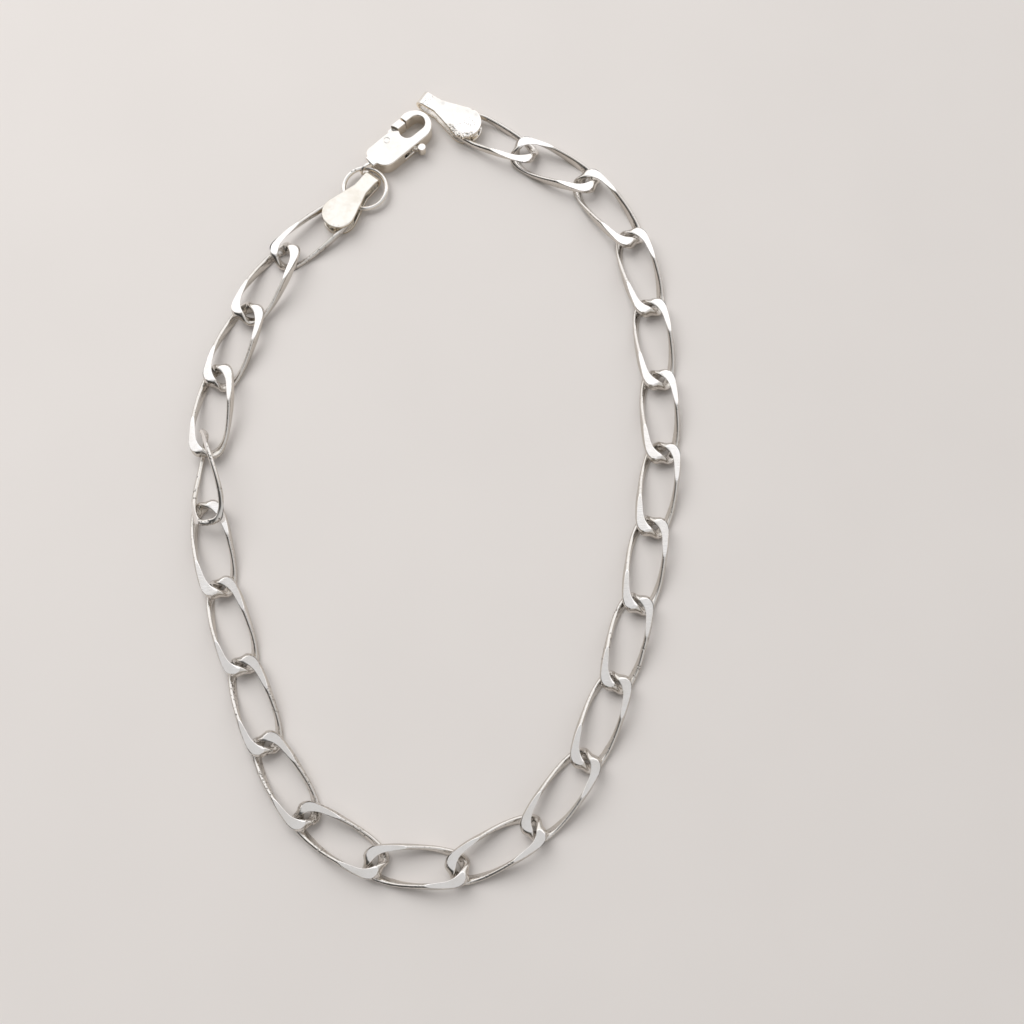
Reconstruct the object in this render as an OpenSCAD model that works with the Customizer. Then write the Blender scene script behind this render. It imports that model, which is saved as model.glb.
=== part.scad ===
// A silver curb-link bracelet lying open on a table: twenty-three twisted links between two
// folded end tags, with a jump ring and a lobster clasp on one of them. Millimetres, +Z up,
// origin under the middle of the whole bracelet.

/* [Chain links] */
// Outside length of one link
link_length = 9.1; // [8.4:0.1:10]
// Outside width of one link
link_width = 3.8; // [3.5:0.1:4.2]
// Width of the link's oval wire, in the plane of the link
wire_width = 0.5; // [0.4:0.05:0.6]
// Height of the link's oval wire, square to the plane of the link
wire_height = 0.8; // [0.6:0.05:0.9]
// Height of the chain between its two milled faces
link_height = 1.5; // [1.3:0.05:1.7]
// Twist of a link from its middle to either end, in degrees
link_twist = 40; // [36:1:44]
// Play between two linked ends when the chain is pulled straight
link_play = 0.45; // [0.4:0.05:0.7]

/* [End tags] */
// Diameter of the round end of a tag's leaf
leaf_diameter = 3.3; // [3:0.1:3.8]
// Width of the neck, where the strip is folded
neck_width = 1.5; // [1.2:0.1:1.8]
// Distance from the middle of the leaf's round end to the start of the fold
leaf_reach = 4.75; // [4.4:0.05:5.2]
// Thickness of the strip
strip_thickness = 0.28; // [0.2:0.02:0.34]
// Free height above and below the link that lies between the leaves
leaf_clearance = 0.075; // [0.05:0.025:0.15]
// Diameter of the post that holds the end link between the leaves
post_diameter = 0.6; // [0.4:0.05:0.7]
// Free space between the post and the end link
post_clearance = 0.1; // [0.05:0.05:0.2]

/* [Jump ring] */
// Outside diameter of the jump ring
ring_diameter = 4.62; // [4.4:0.02:5]
// Diameter of the jump ring's wire
ring_wire = 0.36; // [0.3:0.02:0.38]
// How far the jump ring rises from the tag to the clasp
ring_rise = 0.3; // [0.2:0.05:0.4]

/* [Clasp] */
// Thickness of the clasp body
clasp_thickness = 1.6; // [1.55:0.05:1.9]
// Width of the clasp body
body_width = 2.9; // [2.8:0.05:3.1]
// Outside diameter of the hook
hook_diameter = 3.4; // [3.3:0.05:3.6]
// Width of the opening inside the hook
eye_width = 1.6; // [1.3:0.05:1.7]
// Length of the opening inside the hook
eye_length = 2.9; // [2.6:0.05:3]
// Wall of the eye at the clasp's base, which is as tall as the body is thick
lug_wall = 0.2; // [0.14:0.02:0.22]
// Thickness of that eye
lug_thickness = 0.3; // [0.25:0.05:0.35]

/* [Lever] */
// Thickness of the lever where it runs between the cheeks
lever_thickness = 0.56; // [0.4:0.02:0.7]
// Diameter of the rivet
pin_diameter = 0.5; // [0.4:0.02:0.6]
// Running clearance of the lever on the rivet and in its slot
lever_clearance = 0.05; // [0.03:0.01:0.08]
// Gap at each end of the closed gate
gate_gap = 0.1; // [0.06:0.02:0.14]
// Length of the gate, from the body to the hook's tip
gate_length = 1; // [0.85:0.05:1.1]
// Diameter of the thumb knob
knob_diameter = 0.8; // [0.6:0.05:0.9]
// How far the lever turns to open the gate, in degrees
lever_travel = 22; // [15:1:24]

/* [How it lies] */
// Distance between the middles of the jump ring and of the free tag's leaf
ends_apart = 12.15; // [11.8:0.05:13]

/* [Hidden] */
// How the chain lies. Each row is one link, from the clasp's tag to the free tag.
// heading: direction of travel in degrees; roll: turn about that direction in degrees;
// slack: how much closer than a tight chain this link's two joints lie, in wire widths;
// side: how far the link lies to the left of the line through its joints, in wire widths.
HEADING = 0;
ROLL = 1;
SLACK = 2;
SIDE = 3;
lie = [
    [-138, 0, 2, -0.2],
    [-119, 8, 0.2, -0.2],
    [-110, 0, 1.8, 0.2],
    [-95, 14, 0.8, 0.2],
    [-83, 48, 2.8, -0.4],
    [-77, -4, 0.8, -0.4],
    [-71, 1, 0, -0.2],
    [-70, 0, 0.4, 0],
    [-58, 0, 0.8, 0],
    [-31, 0, 0.4, 0],
    [-3, 0, 0.8, 0],
    [28, 0, 0.2, 0],
    [53, 0, 0.2, 0],
    [69, 0, 0.4, 0.2],
    [75, 0, 0, 0.2],
    [80, 0, 0.6, 0],
    [81, 0, 0.6, 0],
    [92, 0, 1, 0.4],
    [96, 0, 0.2, 0.4],
    [104, 0, 0, 0.4],
    [127, 0, 0.2, 0.4],
    [155, 0, 1.2, 0.2],
    [154, 0, 2.2, 0],
];
// Directions of the two tags, from the leaf's round end to the fold
clasp_tag_heading = 52;
free_tag_heading = 148;
// Directions from the jump ring's middle to the clasp's eye, and along the clasp to its hook
clasp_bearing = 88;
clasp_heading = 44;

link_count = len(lie);
// Rings and corners of the meshed links, and the squareness of their oval outline
link_rings = 16;
outline_power = 2.3;
// Corners of the wire's section, as shares of half its width and half its height
WIRE_CORNERS = [[1, -0.55], [1, 0.55], [0, 1], [-1, 0.55], [-1, -0.55], [0, -1]];
corners = len(WIRE_CORNERS);
oval_half_length = (link_length - wire_width) / 2;
oval_half_width = (link_width - wire_width) / 2;
pitch = link_length - 2 * wire_width - link_play;

tag_gap = wire_height + 2 * leaf_clearance;
tag_height = tag_gap + 2 * strip_thickness;
fold_radius = tag_height / 2;
neck_start = leaf_diameter;
shoulder_angle = 72;
// The post stands a little towards the fold from the middle of the leaf's round end
post_offset = leaf_diameter / 11;
link_seat = (post_diameter + wire_width) / 2 + post_clearance;

ring_radius = (ring_diameter - ring_wire) / 2;
// The ring hangs round the fold, clear of the fold's end and of the end link's end. Its near
// side lies this far from the middle of the leaf.
ring_room = 0.325;
ring_seat = ring_room + ring_wire / 2 + max(
    leaf_reach + fold_radius - 2 * ring_radius,
    post_offset + link_seat + wire_width / 2
);
ring_tilt = asin(ring_rise / (2 * ring_radius));

function direction(a) = [cos(a), sin(a)];
function turned(p, a) = [p[0] * cos(a) - p[1] * sin(a), p[0] * sin(a) + p[1] * cos(a)];
function signed_power(c, p) = sign(c) * pow(abs(c), p);

clasp_tag_middle = -post_offset * direction(clasp_tag_heading);
ring_middle = clasp_tag_middle + (ring_seat + ring_radius) * direction(clasp_tag_heading);
lug_middle = ring_middle + ring_radius * direction(clasp_bearing);

// Joints between the links, walked from the clasp's tag with the post there at [0, 0]. From
// the link at the bottom of the U on, all of them are turned by the same angle.
bottom_link = 11;
function heading(i, turn) = lie[i][HEADING] + (i < bottom_link ? 0 : turn);
function slack(i) = lie[i][SLACK] * wire_width;
first_joint = (2 * oval_half_length - link_seat - (oval_half_length - pitch / 2) - slack(0))
    * direction(lie[0][HEADING]);
function walk(turn) = [
    for (i = 1, p = first_joint; i <= link_count;
        p = p + (i < link_count ? (pitch - slack(i)) * direction(heading(i, turn)) : [0, 0]),
        i = i + 1) p
];
function middle_on(joints, i, turn) =
    lie[i][SIDE] * wire_width * direction(heading(i, turn) + 90) + (i == 0
        ? (oval_half_length - link_seat) * direction(lie[0][HEADING])
        : (joints[i - 1] + joints[i]) / 2);
function free_tag_on(joints, turn) = middle_on(joints, link_count - 1, turn)
    + (oval_half_length - link_seat) * direction(heading(link_count - 1, turn))
    - post_offset * direction(free_tag_heading + turn);

// The two sides of the U are turned about the bottom joint until the ends are as far apart
// as they should be
unturned = walk(0);
bottom_joint = unturned[bottom_link - 1];
to_ring = ring_middle - bottom_joint;
to_tag = free_tag_on(unturned, 0) - bottom_joint;
spread = acos((norm(to_ring) ^ 2 + norm(to_tag) ^ 2 - ends_apart ^ 2)
    / (2 * norm(to_ring) * norm(to_tag)));
turn = atan2(to_ring[1], to_ring[0]) - atan2(to_tag[1], to_tag[0]) - spread;
joints = walk(turn);
free_tag_middle = free_tag_on(joints, turn);
function link_middle(i) = middle_on(joints, i, turn);

// One ring of the link's oval: its place, its outward normal and its twist
function oval_point(t) = [
    oval_half_length * signed_power(cos(t), 2 / outline_power),
    oval_half_width * signed_power(sin(t), 2 / outline_power),
];
function oval_normal(p) =
    let (n = [
        signed_power(p[0] / oval_half_length, outline_power - 1) / oval_half_length,
        signed_power(p[1] / oval_half_width, outline_power - 1) / oval_half_width,
    ])
    n / norm(n);
// Between a tag's leaves the end link isn't twisted: its twist starts at the leaf's rim. The
// rim is a share of the link's half length.
leaf_rim = 1 - (link_seat + post_offset + leaf_diameter / 2) / oval_half_length;
function twist_at(x, i) =
    let (
        first = i == 0,
        last = i == link_count - 1,
        from = first ? -leaf_rim : -1,
        to = last ? leaf_rim : 1,
        share = min(1, max(0, (x / oval_half_length - from) / (to - from)))
    )
    link_twist * ((first ? 0 : 1) * (1 - share) - (last ? 0 : 1) * share);
function link_vertex(k, c, i) =
    let (
        p = oval_point(360 * k / link_rings),
        corner = WIRE_CORNERS[c],
        q = p + corner[0] * wire_width / 2 * oval_normal(p),
        yz = turned([q[1], corner[1] * wire_height / 2], twist_at(p[0], i))
    )
    [q[0], yz[0], yz[1]];
function link_mesh(i) = [for (k = [0:link_rings - 1], c = [0:corners - 1]) link_vertex(k, c, i)];
link_faces = [
    for (k = [0:link_rings - 1], c = [0:corners - 1])
        let (
            a = k * corners + c,
            b = k * corners + (c + 1) % corners,
            d = (k + 1) % link_rings * corners + c,
            e = (k + 1) % link_rings * corners + (c + 1) % corners
        )
        each [[a, b, e], [a, e, d]]
];

// A link stands on its lowest milled corner. Between two corners of the mesh on either side of
// a milled face, that corner is where the edge between them is cut.
function cut_edge(a, b, level) = a + (b - a) * (level - a[2]) / (b[2] - a[2]);
function milled(a, b) =
    let (half = link_height / 2, top = abs(a[2]) <= half ? a : cut_edge(a, b, sign(a[2]) * half))
    abs(a[2]) <= half || abs(b[2]) < half ? [top] : [];
function link_lift(i) =
    let (m = link_mesh(i))
    -min([
        for (f = link_faces, e = [0:2])
            for (v = milled(m[f[e]], m[f[(e + 1) % 3]])) turned([v[1], v[2]], lie[i][ROLL])[1]
    ]);
function link_plan(i) = [
    for (v = link_mesh(i))
        link_middle(i) + turned([v[0], turned([v[1], v[2]], lie[i][ROLL])[0]], heading(i, turn))
];

// The origin is under the middle of the plan of the links and the free tag's fold
fold_corner = free_tag_middle
    + turned([leaf_reach + fold_radius, -neck_width / 2], free_tag_heading + turn);
plan = [fold_corner, for (i = [0:link_count - 1]) each link_plan(i)];
plan_x = [for (p = plan) p[0]];
plan_y = [for (p = plan) p[1]];
origin = [(min(plan_x) + max(plan_x)) / 2, (min(plan_y) + max(plan_y)) / 2];

// Places on the clasp, from its own origin, with u towards the hook and v to its left
body_radius = body_width / 2;
hook_radius = hook_diameter / 2;
body_v = -0.1;
side_v = body_v - body_radius;
corner_radius = 0.7;
rear_corner = [1.1, body_v + body_radius - corner_radius];
rear_middle = [2, body_v];
waist = [3.4, body_v];
throat_width = 2.4;
hook_middle = [6.2, side_v + hook_radius];
eye_radius = eye_width / 2;
eye_middle = [hook_middle[0] - 0.3, hook_middle[1] + 0.05];
lug_place = [-0.3, 0.15];
lug_inset = 0.3;
collar_place = 0.15;
collar = [0.6, 1.2, 0.35];
pivot = [3, 0.75];
gate_inner = 1.7;
gate_outer = gate_inner + gate_length;
gate_strip = [0.95, 1.75];
gate_inset = 0.06;
// The tongue that carries the gate ends at this angle, and its slot a little beyond
tongue_limit = 46;
tongue_margin = 7;
knob = [5.2, side_v - knob_diameter / 2 - 0.04];
knob_inset = 0.3;
knob_bearing = atan2(knob[1] - pivot[1], knob[0] - pivot[0]);
hub_radius = 0.55;
rivet_clearance = 0.05;
arm_radius = 0.26;
clasp_origin = lug_middle - turned(lug_place, clasp_heading);

function link_name(i) = str("link_", i < 10 ? "0" : "", i);

// Two discs and the straight sides that touch both
module capsule(a, ra, b, rb) {
    along = atan2(b[1] - a[1], b[0] - a[0]);
    lean = acos((ra - rb) / norm(b - a));
    translate(a) circle(r = ra, $fn = 48);
    translate(b) circle(r = rb, $fn = 48);
    polygon([
        a + ra * direction(along + lean),
        a + ra * direction(along - lean),
        b + rb * direction(along - lean),
        b + rb * direction(along + lean),
    ]);
}

module link(i) {
    color("silver")
    translate([link_middle(i)[0] - origin[0], link_middle(i)[1] - origin[1], link_lift(i)])
    rotate([0, 0, heading(i, turn)])
    rotate([lie[i][ROLL], 0, 0])
    intersection() {
        polyhedron(link_mesh(i), link_faces, convexity = 6);
        cube([2 * link_length, 2 * link_width, link_height], center = true);
    }
}

// One leaf of a tag in plan: a round end that tapers into the neck
module leaf_outline() {
    circle(d = leaf_diameter, $fn = 64);
    translate([0, -neck_width / 2]) square([leaf_reach, neck_width]);
    shoulder = leaf_diameter / 2 * direction(shoulder_angle);
    polygon([
        shoulder,
        [shoulder[0], -shoulder[1]],
        [neck_start, -neck_width / 2],
        [neck_start, neck_width / 2],
    ]);
}

module fold() {
    translate([leaf_reach, 0, fold_radius])
    rotate([90, 0, 0])
    intersection() {
        difference() {
            cylinder(r = fold_radius, h = neck_width, center = true, $fn = 48);
            cylinder(d = tag_gap, h = 2 * neck_width, center = true, $fn = 48);
        }
        translate([fold_radius / 2, 0, 0])
        cube([fold_radius, 2 * tag_height, neck_width], center = true);
    }
}

module tag(middle, heading) {
    color("gainsboro")
    translate([middle[0] - origin[0], middle[1] - origin[1], 0])
    rotate([0, 0, heading]) {
        linear_extrude(strip_thickness) leaf_outline();
        translate([0, 0, tag_height - strip_thickness])
        linear_extrude(strip_thickness) leaf_outline();
        translate([post_offset, 0, strip_thickness / 2])
        cylinder(d = post_diameter, h = tag_height - strip_thickness, $fn = 32);
        fold();
    }
}

module tag_clasp_end() {
    tag(clasp_tag_middle, clasp_tag_heading);
}

module tag_free_end() {
    tag(free_tag_middle, free_tag_heading + turn);
}

module jump_ring() {
    color("silver")
    translate([ring_middle[0] - origin[0], ring_middle[1] - origin[1], tag_height / 2])
    rotate([0, 0, clasp_bearing])
    rotate([0, -ring_tilt, 0])
    rotate_extrude($fn = 64) translate([ring_radius, 0]) circle(d = ring_wire, $fn = 24);
}

// Puts what is drawn in the clasp's own u and v where the clasp lies
module on_clasp() {
    translate([clasp_origin[0] - origin[0], clasp_origin[1] - origin[1], 0])
    rotate([0, 0, clasp_heading])
    children();
}

module eye_outline() {
    reach = eye_length / 2 - eye_radius;
    capsule(eye_middle - [reach, 0], eye_radius, eye_middle + [reach, 0], eye_radius);
}

// Ring sector about the lever's pivot
module pivot_sector(inner, outer, from, to) {
    intersection() {
        translate(pivot)
        difference() {
            circle(r = outer, $fn = 96);
            circle(r = inner, $fn = 96);
        }
        polygon([
            pivot,
            pivot + 3 * outer * direction(from),
            pivot + 3 * outer * direction((from + to) / 2),
            pivot + 3 * outer * direction(to),
        ]);
    }
}

module clasp_outline() {
    difference() {
        union() {
            capsule(rear_corner, corner_radius, rear_middle, body_radius);
            capsule(rear_middle, body_radius, waist, body_radius);
            translate([rear_middle[0], side_v])
            square([hook_middle[0] - rear_middle[0], throat_width]);
            translate(hook_middle) circle(r = hook_radius, $fn = 72);
        }
        eye_outline();
        pivot_sector(gate_inner - gate_gap, gate_outer + gate_gap, -lever_travel, 100);
    }
}

// The room that the lever sweeps between the cheeks, from closed to fully open
module lever_room() {
    side = arm_radius + lever_clearance;
    reach = 2 * body_width;
    translate(pivot) circle(r = hub_radius + lever_clearance, $fn = 48);
    shut = direction(knob_bearing);
    open = direction(knob_bearing - lever_travel);
    polygon([
        pivot + side * direction(knob_bearing + 90),
        pivot + reach * shut + side * direction(knob_bearing + 90),
        pivot + reach * open + side * direction(knob_bearing - lever_travel - 90),
        pivot + side * direction(knob_bearing - lever_travel - 90),
    ]);
    pivot_sector(0, gate_outer, -lever_travel, tongue_limit + tongue_margin);
}

module clasp_body() {
    slot = lever_thickness + 2 * lever_clearance;
    color("gainsboro")
    on_clasp() {
        difference() {
            linear_extrude(clasp_thickness) clasp_outline();
            translate([0, 0, (clasp_thickness - slot) / 2]) linear_extrude(slot) lever_room();
            translate([pivot[0], pivot[1], -clasp_thickness])
            cylinder(d = pin_diameter + rivet_clearance, h = 3 * clasp_thickness, $fn = 32);
        }
        difference() {
            union() {
                lug_disc(clasp_thickness / 2, lug_thickness);
                translate([lug_place[0], lug_place[1] - lug_thickness / 2, lug_inset])
                cube([
                    rear_corner[0] - lug_place[0],
                    lug_thickness,
                    clasp_thickness - 2 * lug_inset
                ]);
                translate([
                    collar_place,
                    lug_place[1] - collar[1] / 2,
                    clasp_thickness - collar[2]
                ])
                cube(collar);
            }
            lug_disc(clasp_thickness / 2 - lug_wall, 4 * lug_thickness);
        }
    }
}

module lug_disc(radius, thickness) {
    translate([lug_place[0], lug_place[1], clasp_thickness / 2])
    rotate([90, 0, 0])
    cylinder(r = radius, h = thickness, center = true, $fn = 48);
}

module clasp_lever() {
    color("silver")
    on_clasp() {
        difference() {
            translate([0, 0, (clasp_thickness - lever_thickness) / 2])
            linear_extrude(lever_thickness) {
                translate(pivot) circle(r = hub_radius, $fn = 48);
                capsule(pivot, arm_radius, knob, arm_radius);
                gate_outline(pin_diameter);
            }
            translate([pivot[0], pivot[1], -clasp_thickness])
            cylinder(
                d = pin_diameter + 2 * lever_clearance,
                h = 3 * clasp_thickness,
                $fn = 32
            );
        }
        translate([0, 0, gate_inset])
        linear_extrude(clasp_thickness - 2 * gate_inset) gate_outline(gate_inner);
        translate([knob[0], knob[1], knob_inset])
        cylinder(d = knob_diameter, h = clasp_thickness - 2 * knob_inset, $fn = 32);
    }
}

// The gate in plan, from a given distance off the pivot to its tip
module gate_outline(inner) {
    intersection() {
        pivot_sector(inner, gate_outer, 0, tongue_limit);
        translate([pivot[0], gate_strip[0]])
        square([2 * gate_outer, gate_strip[1] - gate_strip[0]]);
    }
}

module clasp_pin() {
    color("silver")
    on_clasp()
    translate([pivot[0], pivot[1], 0])
    cylinder(d = pin_diameter, h = clasp_thickness, $fn = 32);
}

clasp_body();
clasp_lever();
clasp_pin();
jump_ring();
tag_clasp_end();
tag_free_end();
for (i = [1:link_count]) link(i - 1);
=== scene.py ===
import math

import bmesh
import bpy
from mathutils import Matrix, Vector, noise


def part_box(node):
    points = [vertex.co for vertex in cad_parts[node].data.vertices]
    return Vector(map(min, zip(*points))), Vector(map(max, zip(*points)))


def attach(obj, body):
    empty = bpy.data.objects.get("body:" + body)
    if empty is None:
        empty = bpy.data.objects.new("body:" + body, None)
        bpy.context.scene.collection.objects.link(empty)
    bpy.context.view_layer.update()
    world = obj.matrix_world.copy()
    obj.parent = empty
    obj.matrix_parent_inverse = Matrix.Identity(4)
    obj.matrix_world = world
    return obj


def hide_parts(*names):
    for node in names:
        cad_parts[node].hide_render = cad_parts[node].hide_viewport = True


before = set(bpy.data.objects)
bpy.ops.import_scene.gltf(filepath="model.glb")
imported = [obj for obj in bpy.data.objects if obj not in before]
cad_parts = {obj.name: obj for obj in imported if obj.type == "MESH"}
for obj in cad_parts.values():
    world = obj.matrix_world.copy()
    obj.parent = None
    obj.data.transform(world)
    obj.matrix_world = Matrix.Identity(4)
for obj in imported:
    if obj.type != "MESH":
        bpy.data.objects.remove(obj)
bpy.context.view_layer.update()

scene = bpy.context.scene
scene.view_settings.view_transform = "Standard"

# ---- The view
# The bracelet is seen from almost straight above, from a hand's width, with its open end and
# its clasp at the top of the picture.
MM = 0.001
view = bpy.data.cameras.new("view")
view.sensor_width = 36
view.lens = 44.74
view.clip_start = 0.005
view.clip_end = 10
camera = bpy.data.objects.new("view", view)
scene.collection.objects.link(camera)
camera.matrix_world = (
    Matrix.Translation(Vector((7.358, -33.215, 116.3)) * MM)
    @ Matrix.Rotation(math.radians(13.81), 4, "X")
    @ Matrix.Rotation(math.radians(1.25), 4, "Z")
)
scene.camera = camera

# ---- Table and light
# A plain pale table top, and the soft light of a bright ceiling that is lighter behind the
# clasp and falls off towards the walls, which is what polished silver shows.


def add_node(tree, kind, inputs=None, **settings):
    """A node with its settings, whose inputs are values or the outputs that feed them."""
    node = tree.nodes.new(kind)
    for name, value in settings.items():
        setattr(node, name, value)
    for key, value in (inputs or {}).items():
        if isinstance(value, bpy.types.NodeSocket):
            tree.links.new(value, node.inputs[key])
        else:
            node.inputs[key].default_value = value
    return node


TABLE_REACH = 0.9
table_mesh = bpy.data.meshes.new("table_top")
table_mesh.from_pydata(
    [(x * TABLE_REACH, y * TABLE_REACH, 0) for x, y in ((-1, -1), (1, -1), (1, 1), (-1, 1))],
    [],
    [(0, 1, 2, 3)],
)
table_top = bpy.data.objects.new("table_top", table_mesh)
scene.collection.objects.link(table_top)
paper = bpy.data.materials.new("pale_table")
paper.use_nodes = True
tree = paper.node_tree
shader = tree.nodes["Principled BSDF"]
shader.inputs["Roughness"].default_value = 0.9
shader.inputs["Specular IOR Level"].default_value = 0.2
where = add_node(tree, "ShaderNodeTexCoord")
cloud = add_node(
    tree, "ShaderNodeTexNoise", {"Vector": where.outputs["Object"], "Scale": 60, "Detail": 2}
)
tint = add_node(tree, "ShaderNodeValToRGB", {"Fac": cloud.outputs["Fac"]})
tint.color_ramp.elements[0].position = 0.3
tint.color_ramp.elements[0].color = (0.80, 0.77, 0.755, 1)
tint.color_ramp.elements[1].position = 0.7
tint.color_ramp.elements[1].color = (0.815, 0.785, 0.77, 1)
tree.links.new(tint.outputs["Color"], shader.inputs["Base Color"])
table_mesh.materials.append(paper)

room = bpy.data.worlds.new("bright_room")
scene.world = room
room.use_nodes = True
tree = room.node_tree
tree.nodes.clear()
where = add_node(tree, "ShaderNodeTexCoord")
parts = add_node(tree, "ShaderNodeSeparateXYZ", {"Vector": where.outputs["Generated"]})
# From the walls' foot up to straight overhead
ceiling = add_node(tree, "ShaderNodeValToRGB", {"Fac": parts.outputs["Z"]})
steps = ceiling.color_ramp.elements
steps[0].position = 0.05
steps[0].color = (0.16, 0.14, 0.12, 1)
steps[1].position = 0.35
steps[1].color = (0.58, 0.54, 0.49, 1)
steps.new(0.6).color = (0.68, 0.66, 0.64, 1)
steps.new(1.0).color = (0.63, 0.62, 0.61, 1)
# The ceiling is brightest beyond the clasp
glow = add_node(
    tree,
    "ShaderNodeMapRange",
    {"Value": parts.outputs["Y"], "From Min": 0.14, "From Max": 0.36, "To Min": 0, "To Max": 0.52},
    interpolation_type="SMOOTHSTEP",
)
both = add_node(
    tree,
    "ShaderNodeVectorMath",
    {0: ceiling.outputs["Color"], 1: glow.outputs["Result"]},
    operation="ADD",
)
# A dark wall stands on the near left
DARK_WAY = (-0.62, -0.60, 0.50)
facing = add_node(
    tree,
    "ShaderNodeVectorMath",
    {0: where.outputs["Generated"], 1: DARK_WAY},
    operation="DOT_PRODUCT",
)
shade = add_node(
    tree,
    "ShaderNodeMapRange",
    {
        "Value": facing.outputs["Value"],
        "From Min": 0.66,
        "From Max": 0.86,
        "To Min": 1,
        "To Max": 0.12,
    },
    interpolation_type="SMOOTHSTEP",
)
both = add_node(
    tree,
    "ShaderNodeVectorMath",
    {0: both.outputs["Vector"], "Scale": shade.outputs["Result"]},
    operation="SCALE",
)
path = add_node(tree, "ShaderNodeLightPath")
dimmed = add_node(
    tree,
    "ShaderNodeMapRange",
    {"Value": path.outputs["Is Diffuse Ray"], "To Min": 1.0, "To Max": 0.7},
)
walls = add_node(
    tree,
    "ShaderNodeBackground",
    {"Color": both.outputs["Vector"], "Strength": dimmed.outputs["Result"]},
)
backdrop = add_node(tree, "ShaderNodeBackground", {"Color": (0.66, 0.64, 0.62, 1)})
seen = add_node(
    tree,
    "ShaderNodeMixShader",
    {0: path.outputs["Is Camera Ray"], 1: walls.outputs[0], 2: backdrop.outputs[0]},
)
add_node(tree, "ShaderNodeOutputWorld", {"Surface": seen.outputs["Shader"]})

# Two soft lamps: each one's place, its side in metres and its watts
for name, spot, size, watts in (
    ("soft_panel", (-0.17, 0.22, 0.33), 0.34, 1.12),
    ("side_panel", (-0.30, -0.05, 0.30), 0.12, 0.05),
):
    panel = bpy.data.lights.new(name, "AREA")
    panel.shape = "SQUARE"
    panel.size = size
    panel.energy = watts
    panel.color = (1.0, 0.985, 0.965)
    lamp = bpy.data.objects.new(name, panel)
    lamp.location = spot
    lamp.rotation_euler = (-Vector(spot)).to_track_quat("-Z", "Y").to_euler()
    lamp.visible_glossy = False
    scene.collection.objects.link(lamp)

# ---- Curb links
# Twenty-three ovals of drawn silver wire, each twisted about its length so that it lies flat
# in the chain. The finished chain is milled on both faces, which cuts the spoon-shaped flats.
LINK_LENGTH = 9.1 * MM
LINK_WIDTH = 3.8 * MM
WIRE_WIDTH = 0.5 * MM
WIRE_HEIGHT = 1.03 * MM
MILLED_HEIGHT = 1.5 * MM
LINK_TWIST = math.radians(40)
# Share of the half length where the end links come out from between a tag's leaves
LEAF_RIM = 0.395
# Each link's direction of travel and its lean about that direction, in degrees
LIE = [
    (-138, 0), (-119, 8), (-110, 0), (-95, 6), (-83, 48), (-77, -4), (-71, 1), (-70, 0),
    (-58, 0), (-31, 0), (-3, 0), (28, 0), (53, 0), (69, 0), (75, 0), (80, 0), (81, 0),
    (92, 0), (96, 0), (104, 0), (127, 0), (155, 0), (154, 0),
]
FIRST, ON_ITS_SIDE, LAST = 0, 4, len(LIE) - 1
# How tall the wire is, against the other links' wire, where a tag holds it and where the link
# lies on its side
TALLNESS = {FIRST: 0.74, ON_ITS_SIDE: 0.44, LAST: 0.74}
# The links whose wire came out of the solder bath more porous than the others
POROUS = (0, 4, 7, 8, 9, 14)
link_names = [f"link_{number:02d}" for number in range(1, len(LIE) + 1)]

row = bpy.data.meshes.new("link_places")
row.from_pydata([sum((Vector(c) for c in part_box(n)), Vector()) / 2 for n in link_names], [], [])
for name, value_of in {
    "heading": lambda k: math.radians(LIE[k][0]),
    "lean": lambda k: math.radians(LIE[k][1]),
    "number": float,
    "twist_start": lambda k: -LEAF_RIM if k == FIRST else -1.0,
    "twist_end": lambda k: LEAF_RIM if k == LAST else 1.0,
    "first_end": lambda k: 0.0 if k == FIRST else 1.0,
    "last_end": lambda k: 0.0 if k == LAST else 1.0,
    "tallness": lambda k: TALLNESS.get(k, 1.0),
    "porous": lambda k: 1.0 if k in POROUS else 0.25,
}.items():
    numbers = [value_of(k) for k in range(len(LIE))]
    row.attributes.new(name, "FLOAT", "POINT").data.foreach_set("value", numbers)

link_tree = bpy.data.node_groups.new("milled_curb_links", "GeometryNodeTree")
link_tree.interface.new_socket("Geometry", in_out="INPUT", socket_type="NodeSocketGeometry")
link_inputs = {
    "Link Length": LINK_LENGTH,
    "Link Width": LINK_WIDTH,
    "Wire Width": WIRE_WIDTH,
    "Wire Height": WIRE_HEIGHT,
    "Milled Height": MILLED_HEIGHT,
    "Twist": LINK_TWIST,
    "End Lean": math.radians(37),
    "Lean Growth": 3.4,
    "End Swell": 0.28,
    "Swell Start": 0.6,
    "Swell Full": 0.97,
    "Squareness": 3.2,
    "Section Squareness": 2.4,
    "Unevenness": 0.06 * MM,
    "Waves In A Metre": 420.0,
    "Seed": 4.0,
}
link_sockets = {
    name: link_tree.interface.new_socket(name, in_out="INPUT", socket_type="NodeSocketFloat")
    for name in link_inputs
}
silver_socket = link_tree.interface.new_socket(
    "Silver", in_out="INPUT", socket_type="NodeSocketMaterial"
)
link_tree.interface.new_socket("Geometry", in_out="OUTPUT", socket_type="NodeSocketGeometry")
given = add_node(link_tree, "NodeGroupInput").outputs


def math_node(operation, first, second=0.0, third=0.0):
    """The result of one step of arithmetic in the links' tree."""
    numbers = {0: first, 1: second, 2: third}
    return add_node(link_tree, "ShaderNodeMath", numbers, operation=operation).outputs[0]


def vector_math(operation, first, second, third=(0.0, 0.0, 0.0)):
    """The result of one step of arithmetic on vectors in the links' tree."""
    vectors = {0: first, 1: second, 2: third}
    return add_node(link_tree, "ShaderNodeVectorMath", vectors, operation=operation).outputs[0]


def scaled(vector, factor):
    """A vector made longer or shorter by a factor."""
    sizes = {0: vector, "Scale": factor}
    return add_node(link_tree, "ShaderNodeVectorMath", sizes, operation="SCALE").outputs[0]


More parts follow.
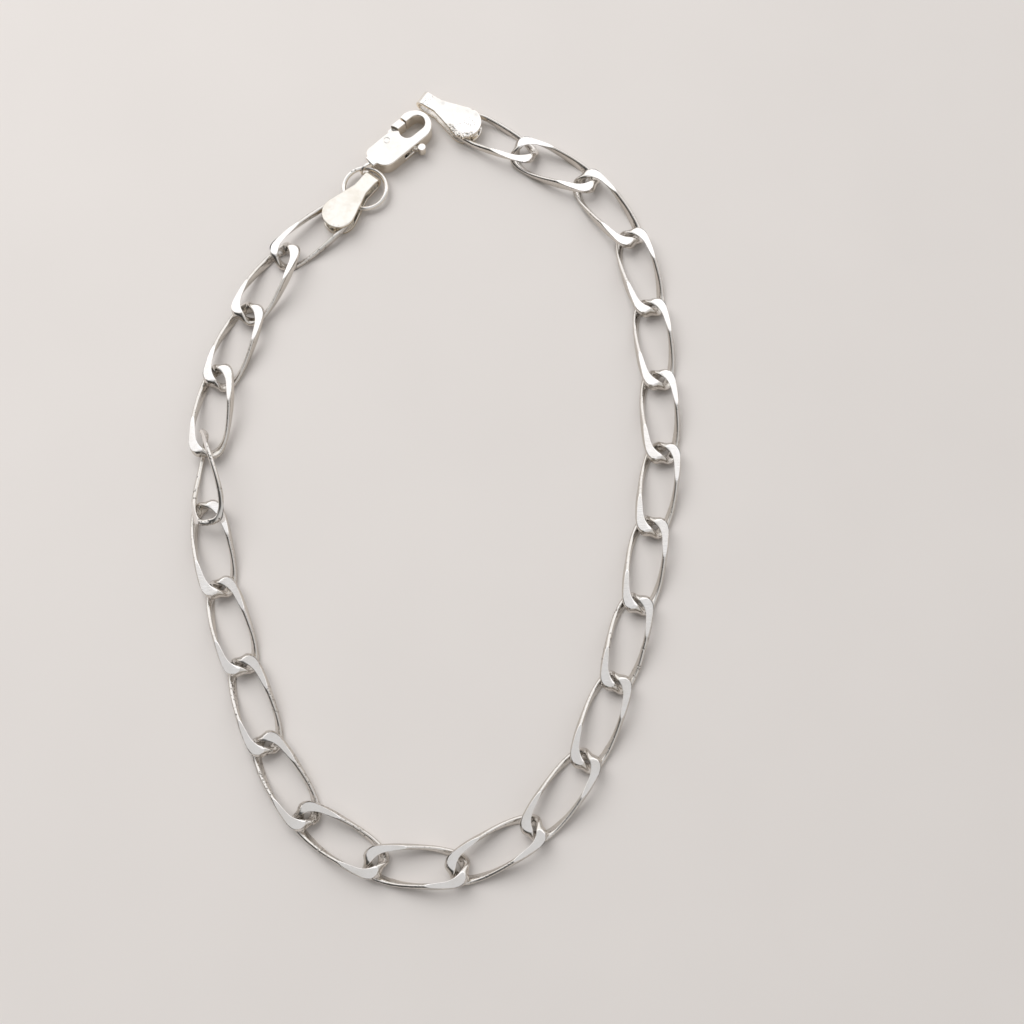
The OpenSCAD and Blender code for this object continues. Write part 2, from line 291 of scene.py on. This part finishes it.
def vector_of(x=0.0, y=0.0, z=0.0):
    """Three numbers as one vector."""
    return add_node(link_tree, "ShaderNodeCombineXYZ", {"X": x, "Y": y, "Z": z}).outputs[0]


def parts_of(vector):
    """A vector's three numbers."""
    return add_node(link_tree, "ShaderNodeSeparateXYZ", {"Vector": vector}).outputs


def named(name, data_type="FLOAT"):
    """A number or vector that each link's place or each point of its wire carries."""
    node = add_node(
        link_tree, "GeometryNodeInputNamedAttribute", {"Name": name}, data_type=data_type
    )
    return node.outputs["Attribute"]


def stored(geometry, name, value, data_type="FLOAT"):
    """Geometry whose points carry a number or vector under a name."""
    return add_node(
        link_tree,
        "GeometryNodeStoreNamedAttribute",
        {"Geometry": geometry, "Name": name, "Value": value},
        data_type=data_type,
        domain="POINT",
    ).outputs[0]


def moved(geometry, position):
    """Geometry whose points are moved to new places."""
    return add_node(
        link_tree, "GeometryNodeSetPosition", {"Geometry": geometry, "Position": position}
    ).outputs[0]


def signed_power(value, power):
    """The power of a number's size, with the number's sign."""
    size = math_node("POWER", math_node("ABSOLUTE", value), power)
    return math_node("MULTIPLY", math_node("SIGN", value), size)


def rotated(vector, angle, rotation_type, about=None):
    """A vector turned about an axis, or at a given point about the wire's own direction."""
    turned = {"Vector": vector, "Angle": angle}
    if about is not None:
        turned.update({"Axis": named("way", "FLOAT_VECTOR"), "Center": about})
    return add_node(
        link_tree, "ShaderNodeVectorRotate", turned, rotation_type=rotation_type
    ).outputs[0]


def oval_point(points, squareness, half_x, half_y):
    """A point of a squarish oval, from its number among all the points."""
    angle = math_node("MULTIPLY", index, 2 * math.pi / points)
    power = math_node("DIVIDE", 2.0, squareness)
    across = math_node("MULTIPLY", signed_power(math_node("COSINE", angle), power), half_x)
    upward = math_node("MULTIPLY", signed_power(math_node("SINE", angle), power), half_y)
    return vector_of(across, upward)


# The oval's middle line
POINTS_ROUND = 240
STEPS_ALONG = 116
half_length = math_node(
    "MULTIPLY", math_node("SUBTRACT", given["Link Length"], given["Wire Width"]), 0.5
)
half_width = math_node(
    "MULTIPLY", math_node("SUBTRACT", given["Link Width"], given["Wire Width"]), 0.5
)
circle = add_node(link_tree, "GeometryNodeCurvePrimitiveCircle", {"Resolution": POINTS_ROUND})
index = add_node(link_tree, "GeometryNodeInputIndex").outputs["Index"]
oval = moved(
    circle.outputs["Curve"],
    oval_point(POINTS_ROUND, given["Squareness"], half_length, half_width),
)
even = add_node(
    link_tree, "GeometryNodeResampleCurve", {"Curve": oval, "Count": STEPS_ALONG}
).outputs["Curve"]
upright = add_node(
    link_tree, "GeometryNodeSetCurveNormal", {"Curve": even}, mode="Z_UP"
).outputs["Curve"]
here = add_node(link_tree, "GeometryNodeInputPosition").outputs["Position"]
tangent = add_node(link_tree, "GeometryNodeInputTangent").outputs["Tangent"]
path_round = stored(upright, "middle", here, "FLOAT_VECTOR")
path_round = stored(path_round, "way", tangent, "FLOAT_VECTOR")
# The wire's flattened section, swept round the oval
POINTS_ACROSS = 30
round_wire = add_node(
    link_tree, "GeometryNodeCurvePrimitiveCircle", {"Resolution": POINTS_ACROSS}
)
section = moved(
    round_wire.outputs["Curve"],
    oval_point(
        POINTS_ACROSS,
        given["Section Squareness"],
        math_node("MULTIPLY", given["Wire Width"], 0.5),
        math_node("MULTIPLY", given["Wire Height"], 0.5),
    ),
)
wire = add_node(
    link_tree, "GeometryNodeCurveToMesh", {"Curve": path_round, "Profile Curve": section}
)
# One wire oval for each place, all still at the origin
gathered = moved(stored(given["Geometry"], "place", here, "FLOAT_VECTOR"), vector_of())
copies = add_node(
    link_tree,
    "GeometryNodeInstanceOnPoints",
    {"Points": gathered, "Instance": wire.outputs["Mesh"]},
)
ovals = add_node(
    link_tree, "GeometryNodeRealizeInstances", {"Geometry": copies.outputs["Instances"]}
)
# Hand work leaves each oval a little uneven, and pressed the held ones lower
APART = 0.05
apart = math_node("MULTIPLY_ADD", named("number"), APART, given["Seed"])
wave = add_node(
    link_tree,
    "ShaderNodeTexNoise",
    {
        "Vector": vector_math("ADD", here, vector_of(apart)),
        "Scale": given["Waves In A Metre"],
        "Detail": 1.0,
    },
    noise_dimensions="3D",
)
centred = vector_math("SUBTRACT", wave.outputs["Color"], (0.5, 0.5, 0.5))
pressed = vector_math("MULTIPLY", here, vector_of(1.0, 1.0, named("tallness")))
bent = vector_math("ADD", pressed, scaled(centred, given["Unevenness"]))
# Towards its ends the wire leans over further, so that its milled flats are widest there
middle = named("middle", "FLOAT_VECTOR")
part_along = math_node("DIVIDE", parts_of(middle)["X"], half_length)
part_across = math_node("DIVIDE", parts_of(middle)["Y"], half_width)
side = add_node(
    link_tree,
    "ShaderNodeMapRange",
    {"Value": part_across, "From Min": -0.3, "From Max": 0.3, "To Min": -1.0, "To Max": 1.0},
).outputs["Result"]
loose = math_node(
    "ADD",
    math_node("MULTIPLY", math_node("GREATER_THAN", part_along, 0.0), named("last_end")),
    math_node("MULTIPLY", math_node("LESS_THAN", part_along, 0.0), named("first_end")),
)
leaning = math_node("MULTIPLY", signed_power(part_along, given["Lean Growth"]), side)
leaning = math_node("MULTIPLY", math_node("MULTIPLY", leaning, given["End Lean"]), loose)
# The wire is also swollen where it was bent round the ends, half as much in its height
end_nearness = add_node(
    link_tree,
    "ShaderNodeMapRange",
    {
        "Value": math_node("ABSOLUTE", part_along),
        "From Min": given["Swell Start"],
        "From Max": given["Swell Full"],
    },
    interpolation_type="SMOOTHSTEP",
).outputs["Result"]
swell = math_node("MULTIPLY", math_node("MULTIPLY", end_nearness, loose), given["End Swell"])
swelling = vector_of(swell, swell, math_node("MULTIPLY", swell, 0.5))
swollen = vector_math("MULTIPLY_ADD", vector_math("SUBTRACT", bent, middle), swelling, bent)
tipped = rotated(swollen, leaning, "AXIS_ANGLE", about=middle)
height_way = rotated(vector_of(0.0, 0.0, 1.0), leaning, "AXIS_ANGLE", about=vector_of())
# The twist grows evenly along the link
share = add_node(
    link_tree,
    "ShaderNodeMapRange",
    {
        "Value": math_node("DIVIDE", parts_of(here)["X"], half_length),
        "From Min": named("twist_start"),
        "From Max": named("twist_end"),
    },
).outputs["Result"]
start_part = math_node("MULTIPLY", named("first_end"), math_node("SUBTRACT", 1.0, share))
end_part = math_node("MULTIPLY", named("last_end"), share)
turn = math_node("MULTIPLY", math_node("SUBTRACT", start_part, end_part), given["Twist"])
twisted = rotated(tipped, turn, "X_AXIS")
height_way = rotated(height_way, turn, "X_AXIS")
# Milling cuts both faces flat: a point above them slides down along the wire's height, which
# is taken to rise at least this much
LEAST_RISE = 0.35
level = parts_of(twisted)["Z"]
half_height = math_node("MULTIPLY", given["Milled Height"], 0.5)
within = math_node("MINIMUM", level, half_height)
within = math_node("MAXIMUM", within, math_node("MULTIPLY", half_height, -1.0))
depth = math_node("SUBTRACT", math_node("ABSOLUTE", level), half_height)
rise = math_node("MAXIMUM", parts_of(height_way)["Z"], LEAST_RISE)
cut_away = math_node("DIVIDE", math_node("SUBTRACT", level, within), rise)
flat = vector_math("SUBTRACT", twisted, scaled(height_way, cut_away))
# Each link goes to its place in the chain, and none sinks into the table
leaned = rotated(flat, named("lean"), "X_AXIS")
headed = rotated(leaned, named("heading"), "Z_AXIS")
laid = parts_of(vector_math("ADD", headed, named("place", "FLOAT_VECTOR")))
on_table = vector_of(laid["X"], laid["Y"], math_node("MAXIMUM", laid["Z"], 0.0))
marked = stored(ovals.outputs["Geometry"], "milled", math_node("DIVIDE", depth, MM))
smooth = add_node(
    link_tree, "GeometryNodeSetShadeSmooth", {"Geometry": moved(marked, on_table)}
)
whole = add_node(
    link_tree, "GeometryNodeRealizeInstances", {"Geometry": smooth.outputs["Geometry"]}
)
dressed = add_node(
    link_tree,
    "GeometryNodeSetMaterial",
    {"Geometry": whole.outputs["Geometry"], "Material": given["Silver"]},
)
add_node(link_tree, "NodeGroupOutput", {"Geometry": dressed.outputs["Geometry"]})

# Polished silver: faint hairlines, small pits that polishing left, and a warmer, duller bloom
# in patches.
wear = bpy.data.node_groups.new("silver_wear", "ShaderNodeTree")
for name, kind, value in (
    ("Vector", "NodeSocketVector", None),
    ("Clean", "NodeSocketColor", (0.97, 0.96, 0.95, 1)),
    ("Dull", "NodeSocketColor", (0.91, 0.89, 0.86, 1)),
    ("Patch Size", "NodeSocketFloat", 450.0),
    ("Smoothest", "NodeSocketFloat", 0.07),
    ("Roughest", "NodeSocketFloat", 0.16),
    ("Hairlines", "NodeSocketFloat", 0.3),
    ("Pits", "NodeSocketFloat", 0.5),
    ("Pit Scale", "NodeSocketFloat", 5200.0),
    ("Pit Rarity", "NodeSocketFloat", 0.56),
):
    socket = wear.interface.new_socket(name, in_out="INPUT", socket_type=kind)
    if value is not None:
        socket.default_value = value
for name, kind in (
    ("Color", "NodeSocketColor"),
    ("Roughness", "NodeSocketFloat"),
    ("Height", "NodeSocketFloat"),
):
    wear.interface.new_socket(name, in_out="OUTPUT", socket_type=kind)
asked = add_node(wear, "NodeGroupInput").outputs
patch = add_node(
    wear,
    "ShaderNodeTexNoise",
    {"Vector": asked["Vector"], "Scale": asked["Patch Size"], "Detail": 4.0, "Roughness": 0.6},
)
patchy = add_node(
    wear,
    "ShaderNodeMapRange",
    {"Value": patch.outputs["Fac"], "From Min": 0.35, "From Max": 0.7},
    interpolation_type="SMOOTHSTEP",
)
metal = add_node(
    wear,
    "ShaderNodeMix",
    {0: patchy.outputs["Result"], 6: asked["Clean"], 7: asked["Dull"]},
    data_type="RGBA",
)
stretch = add_node(
    wear,
    "ShaderNodeMapping",
    {"Vector": asked["Vector"], "Rotation": (0.2, 0.1, 0.7), "Scale": (1.0, 14.0, 6.0)},
)
lines = add_node(
    wear,
    "ShaderNodeTexNoise",
    {"Vector": stretch.outputs["Vector"], "Scale": 1500.0, "Detail": 5.0},
)
cells = add_node(
    wear, "ShaderNodeTexVoronoi", {"Vector": asked["Vector"], "Scale": asked["Pit Scale"]}
)
pit = add_node(
    wear,
    "ShaderNodeMapRange",
    {
        "Value": cells.outputs["Distance"],
        "From Min": 0.12,
        "From Max": 0.42,
        "To Min": 1.0,
        "To Max": 0.0,
    },
    interpolation_type="SMOOTHSTEP",
)
rare = add_node(
    wear, "ShaderNodeTexNoise", {"Vector": asked["Vector"], "Scale": 700.0, "Detail": 2.0}
)
crowded = add_node(wear, "ShaderNodeMath", {0: asked["Pit Rarity"], 1: 0.1}, operation="ADD")
spots = add_node(
    wear,
    "ShaderNodeMapRange",
    {
        "Value": rare.outputs["Fac"],
        "From Min": asked["Pit Rarity"],
        "From Max": crowded.outputs[0],
    },
    interpolation_type="SMOOTHSTEP",
)
pits = add_node(
    wear,
    "ShaderNodeMath",
    {0: pit.outputs["Result"], 1: spots.outputs["Result"]},
    operation="MULTIPLY",
)
pits = add_node(
    wear, "ShaderNodeMath", {0: pits.outputs[0], 1: asked["Pits"]}, operation="MULTIPLY"
)
# Dirt left in the pits makes them dark and dull
DIRT = (0.16, 0.14, 0.12, 1)
darker = add_node(
    wear, "ShaderNodeMath", {0: pits.outputs[0], 1: 0.75}, operation="MULTIPLY", use_clamp=True
)
metal = add_node(
    wear,
    "ShaderNodeMix",
    {0: darker.outputs[0], 6: metal.outputs[2], 7: DIRT},
    data_type="RGBA",
)
rough = add_node(
    wear,
    "ShaderNodeMapRange",
    {
        "Value": patchy.outputs["Result"],
        "To Min": asked["Smoothest"],
        "To Max": asked["Roughest"],
    },
)
rougher = add_node(
    wear,
    "ShaderNodeMath",
    {0: pits.outputs[0], 1: 0.35, 2: rough.outputs["Result"]},
    operation="MULTIPLY_ADD",
)
scored = add_node(
    wear, "ShaderNodeMath", {0: lines.outputs["Fac"], 1: asked["Hairlines"]}, operation="MULTIPLY"
)
height = add_node(
    wear, "ShaderNodeMath", {0: scored.outputs[0], 1: pits.outputs[0]}, operation="SUBTRACT"
)
add_node(
    wear,
    "NodeGroupOutput",
    {"Color": metal.outputs[2], "Roughness": rougher.outputs[0], "Height": height.outputs[0]},
)


def silver(name, bump, walls, **values):
    """Polished silver with its own wear: the depth of its relief in millimetres, and the tone of
    its walls, a painted shade that darkens faces turned away from straight up or down.
    """
    material = bpy.data.materials.new(name)
    material.use_nodes = True
    tree = material.node_tree
    shader = tree.nodes["Principled BSDF"]
    shader.inputs["Metallic"].default_value = 1.0
    where = add_node(tree, "ShaderNodeTexCoord")
    surface = add_node(tree, "ShaderNodeGroup", node_tree=wear, name="wear")
    tree.links.new(where.outputs["Object"], surface.inputs["Vector"])
    for key, value in values.items():
        surface.inputs[key.replace("_", " ")].default_value = value
    relief = add_node(
        tree,
        "ShaderNodeBump",
        {"Height": surface.outputs["Height"], "Strength": 0.6, "Distance": bump * MM},
    )
    # Painted shade: where the object's normal turns from straight up or down towards the side, the
    # colour fades to the darker wall tone
    facing = add_node(tree, "ShaderNodeSeparateXYZ", {"Vector": where.outputs["Normal"]})
    upright = add_node(tree, "ShaderNodeMath", {0: facing.outputs["Z"]}, operation="ABSOLUTE")
    painted_shade_fade = add_node(
        tree,
        "ShaderNodeMapRange",
        {"Value": upright.outputs[0], "From Min": 0.3, "From Max": 0.9},
        interpolation_type="SMOOTHSTEP",
    )
    painted_shade_tone = add_node(
        tree,
        "ShaderNodeMix",
        {0: painted_shade_fade.outputs["Result"], 6: (*walls, 1), 7: (1, 1, 1, 1)},
        data_type="RGBA",
    )
    coloured = add_node(
        tree,
        "ShaderNodeMix",
        {0: 1.0, 6: surface.outputs["Color"], 7: painted_shade_tone.outputs[2]},
        data_type="RGBA",
        blend_type="MULTIPLY",
    )
    tree.links.new(coloured.outputs[2], shader.inputs["Base Color"])
    tree.links.new(surface.outputs["Roughness"], shader.inputs["Roughness"])
    tree.links.new(relief.outputs["Normal"], shader.inputs["Normal"])
    return material


# The third value is the painted shade on the links' walls
link_silver = silver(
    "milled_silver", 0.06, (0.80, 0.77, 0.73), Pit_Scale=3800.0, Pit_Rarity=0.42, Hairlines=0.15
)
tree = link_silver.node_tree
shader = tree.nodes["Principled BSDF"]
# The milled flats are finer and a little paler than the drawn wire beside them: the wire's darker
# tone is painted shade, standing for the dark edges along the strands.
mill = add_node(tree, "ShaderNodeAttribute", attribute_name="milled")
face = add_node(
    tree,
    "ShaderNodeMapRange",
    {"Value": mill.outputs["Fac"], "From Min": -0.004, "From Max": 0.004},
)
painted_wire_shade = add_node(
    tree,
    "ShaderNodeMix",
    {0: face.outputs["Result"], 6: (0.84, 0.83, 0.82, 1), 7: (1.03, 1.03, 1.04, 1)},
    data_type="RGBA",
)
painted_shade_tone = add_node(
    tree,
    "ShaderNodeMix",
    {0: 1.0, 6: shader.inputs["Base Color"].links[0].from_socket, 7: painted_wire_shade.outputs[2]},
    data_type="RGBA",
    blend_type="MULTIPLY",
)
tree.links.new(painted_shade_tone.outputs[2], shader.inputs["Base Color"])
# The pits are in the drawn wire alone, because milling cuts them away
porous = add_node(tree, "ShaderNodeAttribute", attribute_name="porous")
rough_wire = add_node(
    tree, "ShaderNodeMath", {0: 1.0, 1: face.outputs["Result"]}, operation="SUBTRACT"
)
porous = add_node(
    tree,
    "ShaderNodeMath",
    {0: porous.outputs["Fac"], 1: rough_wire.outputs[0]},
    operation="MULTIPLY",
)
tree.links.new(porous.outputs[0], tree.nodes["wear"].inputs["Pits"])

places = bpy.data.objects.new("link_places", row)
scene.collection.objects.link(places)
modifier = places.modifiers.new("links", "NODES")
modifier.node_group = link_tree
for name, value in link_inputs.items():
    modifier[link_sockets[name].identifier] = value
modifier[silver_socket.identifier] = link_silver
bpy.context.view_layer.update()
link_mesh = bpy.data.meshes.new_from_object(
    places.evaluated_get(bpy.context.evaluated_depsgraph_get())
)
bpy.data.objects.remove(places)
curb_links = bpy.data.objects.new("curb_links", link_mesh)
scene.collection.objects.link(curb_links)
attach(curb_links, "bracelet")
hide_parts(*link_names)

# ---- End tags
# A strip of silver with pear-shaped ends is folded in two round the jump ring, and a post
# soldered between its leaves holds the last link. Filing and polishing rounded every edge.


def polished(node, name, grain, passes, material, body="bracelet", shape=None, solder=()):
    """A solid with its edges worn round by filing and polishing, and its beads of solder. Finer
    grain and fewer passes keep edges sharper. Each bead has a place, a width and a height.
    """
    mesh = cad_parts[node].data.copy()
    form = bmesh.new()
    form.from_mesh(mesh)
    bmesh.ops.scale(form, vec=(1 / MM,) * 3, verts=form.verts)
    bmesh.ops.remove_doubles(form, verts=form.verts, dist=0.0005)
    bmesh.ops.recalc_face_normals(form, faces=form.faces)
    for x, y, z, wide, tall in solder:
        bead = Matrix.LocRotScale(Vector((x, y, z)), None, Vector((wide, wide, tall)))
        bmesh.ops.create_icosphere(form, subdivisions=3, radius=1.0, matrix=bead)
    form.to_mesh(mesh)
    form.free()
    rough_piece = bpy.data.objects.new(name + "_rough", mesh)
    scene.collection.objects.link(rough_piece)
    remesh = rough_piece.modifiers.new("grain", "REMESH")
    remesh.mode = "VOXEL"
    remesh.voxel_size = grain
    remesh.use_smooth_shade = True
    worn = rough_piece.modifiers.new("worn", "SMOOTH")
    worn.factor = 0.5
    worn.iterations = passes
    bpy.context.view_layer.update()
    mesh = bpy.data.meshes.new_from_object(
        rough_piece.evaluated_get(bpy.context.evaluated_depsgraph_get())
    )
    bpy.data.objects.remove(rough_piece)
    if shape:
        for vertex, normal in [(v, v.normal.copy()) for v in mesh.vertices]:
            vertex.co += shape(vertex.co, normal)
    mesh.transform(Matrix.Scale(MM, 4))
    mesh.materials.clear()
    mesh.materials.append(material)
    piece = bpy.data.objects.new(name, mesh)
    scene.collection.objects.link(piece)
    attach(piece, body)
    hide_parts(node)
    return piece


def waves(size, amount):
    """Soft hammer-like waves in a surface: their width and height in millimetres."""
    return lambda at, normal: normal * (noise.noise(at / size) * amount)


# The third value is the painted shade on the tags' walls
tag_silver = silver("tag_silver", 0.02, (0.90, 0.81, 0.67), Pits=0.6, Roughest=0.22)
# In millimetres: the height of the middle between a tag's leaves, half the height of a bead
# there, the leaf's radius and the middles of the two upper leaves
GAP_MIDDLE = 0.755
BEAD_HEIGHT = 0.62
LEAF_RADIUS = 1.65
clasp_leaf = Vector((-10.386, 25.018))
free_leaf = Vector((1.796, 35.267))


def bedding(middle, bearing):
    """Solder round the post that holds the end link, between the two leaves."""
    way = Vector((math.cos(math.radians(bearing)), math.sin(math.radians(bearing))))
    beads = []
    for along, across, wide in (
        (0.1, 0, 0.55), (0.55, 0.25, 0.5), (0.5, -0.3, 0.5), (0.95, 0, 0.5),
    ):
        spot = middle + way * along + Vector((-way.y, way.x)) * across
        beads.append((spot.x, spot.y, GAP_MIDDLE, wide, BEAD_HEIGHT))
    return beads


# The tag at the clasp's end has a creamier bloom than the other, and a deeper, warmer painted
# shade on its walls
creamy_silver = silver(
    "creamy_silver",
    0.02,
    (0.88, 0.77, 0.62),
    Roughest=0.24,
    Clean=(0.90, 0.88, 0.84, 1),
    Dull=(0.84, 0.80, 0.73, 1),
    Patch_Size=900,
)
clasp_tag = polished(
    "tag_clasp_end",
    "folded_tag_clasp_end",
    grain=0.04,
    passes=14,
    material=creamy_silver,
    shape=waves(0.9, 0.03),
    solder=bedding(clasp_leaf, 232),
)

# The free tag's lower rim was left with a crust of solder, and its upper leaf is dented
CRUST_HEIGHT = 1.46
crust = []
for step in range(15):
    bearing = math.radians(198 + 6.2 * step)
    out = LEAF_RADIUS - 0.03 + 0.05 * math.sin(2.9 * step)
    size = 0.15 + 0.05 * math.sin(1.7 * step + 1)
    x = free_leaf.x + out * math.cos(bearing)
    y = free_leaf.y + out * math.sin(bearing)
    crust.append((x, y, CRUST_HEIGHT, size, size))

# Each dent in the upper leaf: where it is, how wide it is and how far it stands up or sinks
DENTS = (
    (2.0, 36.8, 0.35, 0.06),
    (2.9, 36.4, 0.4, 0.05),
    (2.5, 36.75, 0.15, -0.07),
    (-0.5, 37.0, 0.4, -0.05),
)


def dented(at, normal):
    """Dents and ripples in the upper leaf, and the crust's rough skin."""
    push = noise.noise(at / 0.9) * 0.03
    for x, y, wide, tall in DENTS:
        push += tall * math.exp(-((at.x - x) ** 2 + (at.y - y) ** 2) / wide**2)
    on_rim = abs((at.xy - free_leaf).length - LEAF_RADIUS) < 0.4 and at.y < free_leaf.y - 0.3
    if on_rim and at.z > 1.15 and at.x < free_leaf.x + 0.8:
        push += noise.noise(at / 0.15) * 0.13
    # The lower leaf, which lies on the table, stays flat
    return normal * push * min(max((at.z - 0.9) / 0.3, 0), 1)


free_tag = polished(
    "tag_free_end",
    "folded_tag_free_end",
    grain=0.04,
    passes=8,
    material=tag_silver,
    shape=dented,
    solder=bedding(free_leaf, 328) + crust,
)

# ---- Jump ring
# A ring of round silver wire that joins the tag to the clasp. It was bent round by hand, closed
# through both and soldered where its ends meet, near the clasp.
# The third value is the painted shade on the ring's walls
ring_silver = silver("ring_silver", 0.015, (0.92, 0.88, 0.82), Roughest=0.16)


def soldered(at, normal):
    """A lump of solder where the ring's ends meet, on wire that bending left uneven."""
    push = 0.055 + noise.noise(at / 0.8) * 0.012
    for x, y, tall in ((-9.75, 30.2, 0.14), (-9.3, 30.45, 0.1)):
        push += tall * math.exp(-((at.x - x) ** 2 + (at.y - y) ** 2) / 0.09)
    if (at.xy - Vector((-9.5, 30.3))).length < 0.7:
        push += noise.noise(at / 0.14) * 0.06
    return normal * push


ring = polished(
    "jump_ring", "round_jump_ring", grain=0.03, passes=4, material=ring_silver, shape=soldered
)

# ---- Clasp body
# The lobster clasp's casting: a base eye, two cheeks in one with the hook, and a slot between
# them for the lever. It was cast, then tumbled until its edges were soft.
# The third value is the painted shade on the walls of the clasp, its lever and its rivet
clasp_silver = silver("clasp_silver", 0.015, (0.93, 0.86, 0.76), Pits=0.1, Roughest=0.2)
clasp_body = polished(
    "clasp_body",
    "cast_clasp_body",
    grain=0.036,
    passes=24,
    material=clasp_silver,
    shape=waves(1.4, 0.03),
)

# ---- Lever
# One casting with a hub, the gate that shuts the hook and a thumb knob. It turns on the rivet
# against a leaf spring that is hidden in the body.
lever = polished(
    "clasp_lever", "sprung_lever", grain=0.03, passes=7, material=clasp_silver, body="lever"
)

# ---- Rivet
# A round silver pin through both cheeks and the lever's hub. Its ends were hammered over until
# they filled their holes, and polished flush with the cheeks.
pin_low, pin_high = (Vector(corner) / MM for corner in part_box("clasp_pin"))
pin_axis = (pin_low + pin_high) / 2


def peened(at, normal):
    """The pin's swelling under the hammer, sideways only."""
    out = Vector((at.x - pin_axis.x, at.y - pin_axis.y, 0))
    return out.normalized() * 0.045 if out.length > 0.1 else Vector()


rivet = polished(
    "clasp_pin", "lever_rivet", grain=0.03, passes=2, material=clasp_silver, shape=peened
)
